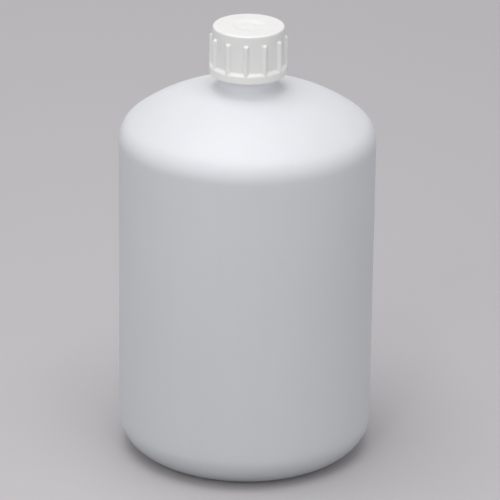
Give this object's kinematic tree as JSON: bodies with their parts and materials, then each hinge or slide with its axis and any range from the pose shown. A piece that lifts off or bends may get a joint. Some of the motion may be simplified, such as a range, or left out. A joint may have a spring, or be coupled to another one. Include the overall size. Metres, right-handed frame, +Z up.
{
  "type": "reagent bottle",
  "caption": "Large white plastic reagent bottle: a hollow cylinder with a domed shoulder, a narrow neck, an inner stopper and a ribbed screw cap that unscrews and lifts off.",
  "frame": {"origin": "centre of the ring that the bottle stands on, on the standing plane", "axes": "+Z up along the axis of the bottle, -Y towards the viewer of the picture"},
  "size_m": [0.22, 0.22, 0.3852],
  "materials": {
    "bottle": "natural high-density polyethylene, milky white, matt and slightly translucent",
    "stopper": "soft low-density polyethylene, natural white",
    "liner": "foamed polyethylene, white",
    "cap": "moulded polypropylene, white, satin"
  },
  "bodies": {
    "bottle": {"bottle": "bottle"},
    "stopper": {"stopper": "stopper"},
    "liner": {"liner": "liner"},
    "cap": {"cap": "cap"}
  },
  "joints": [
    {"name": "stopper_lift", "type": "slide", "parent": "bottle", "child": "stopper", "axis": [0, 0, 1], "range_m": [0, 0.09]},
    {"name": "cap_rise", "type": "slide", "parent": "stopper", "child": "liner", "axis": [0, 0, 1], "range_m": [0, 0.0151]},
    {"name": "cap_turn", "type": "hinge", "parent": "liner", "child": "cap", "pos_m": [0, 0, 0.36], "axis": [0, 0, 1], "range_deg": [0, 900]}
  ],
  "couplings": [
    {"joint": "cap_rise", "follows": "cap_turn", "m_per_rad": 0.00095493}
  ]
}
